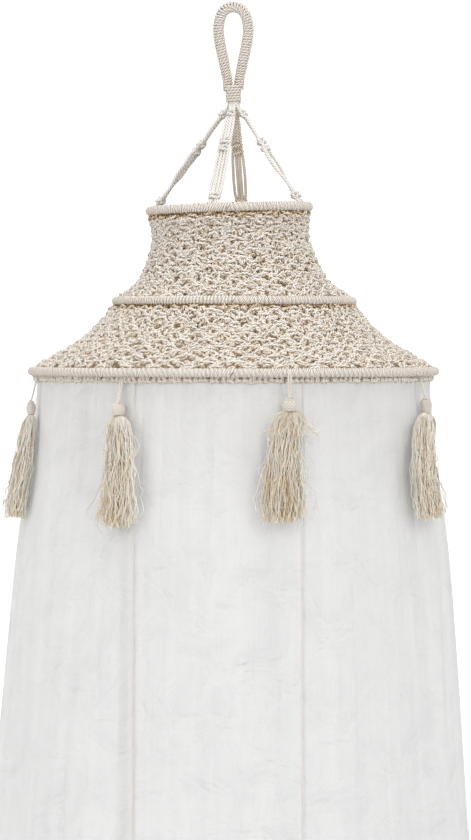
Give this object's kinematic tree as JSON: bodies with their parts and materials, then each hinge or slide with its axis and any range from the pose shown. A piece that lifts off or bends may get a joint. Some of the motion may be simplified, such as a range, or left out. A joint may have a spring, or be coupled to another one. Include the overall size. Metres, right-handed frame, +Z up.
{
  "type": "mosquito net canopy with wrapped hoops",
  "caption": "Hanging bed canopy: a rope loop and straps carry cord-wrapped hoops, a knotted tiered crown, a long flared sheer net with an overlapped opening, and cord tassels.",
  "frame": {"origin": "where a hook carries the hanging loop, at the loop's inner top", "axes": "+Z up along the canopy's axis, front with the overlapped opening towards -Y"},
  "size_m": [0.7631, 0.7505, 2.2977],
  "materials": {
    "cord": "natural cotton cord, matte",
    "yarn": "twisted cotton yarn, matte",
    "net": "sheer off-white muslin, matte"
  },
  "bodies": {
    "root": {"hanging_loop": "cord", "neck_binding": "cord", "strap_front": "cord", "strap_right": "cord", "strap_back": "cord", "strap_left": "cord", "top_ring": "cord", "middle_ring": "cord", "bottom_ring": "cord", "ring_edging": "cord", "crown_upper": "cord", "crown_lower": "cord", "tassel_cord_1": "cord", "tassel_cord_2": "cord", "tassel_cord_3": "cord", "tassel_cord_4": "cord", "tassel_cord_5": "cord", "tassel_cord_6": "cord", "tassel_cord_7": "cord", "net_front": "net", "net_wrap": "net", "tassel_1": "yarn", "tassel_2": "yarn", "tassel_3": "yarn", "tassel_4": "yarn", "tassel_5": "yarn", "tassel_6": "yarn", "tassel_7": "yarn"}
  },
  "joints": []
}
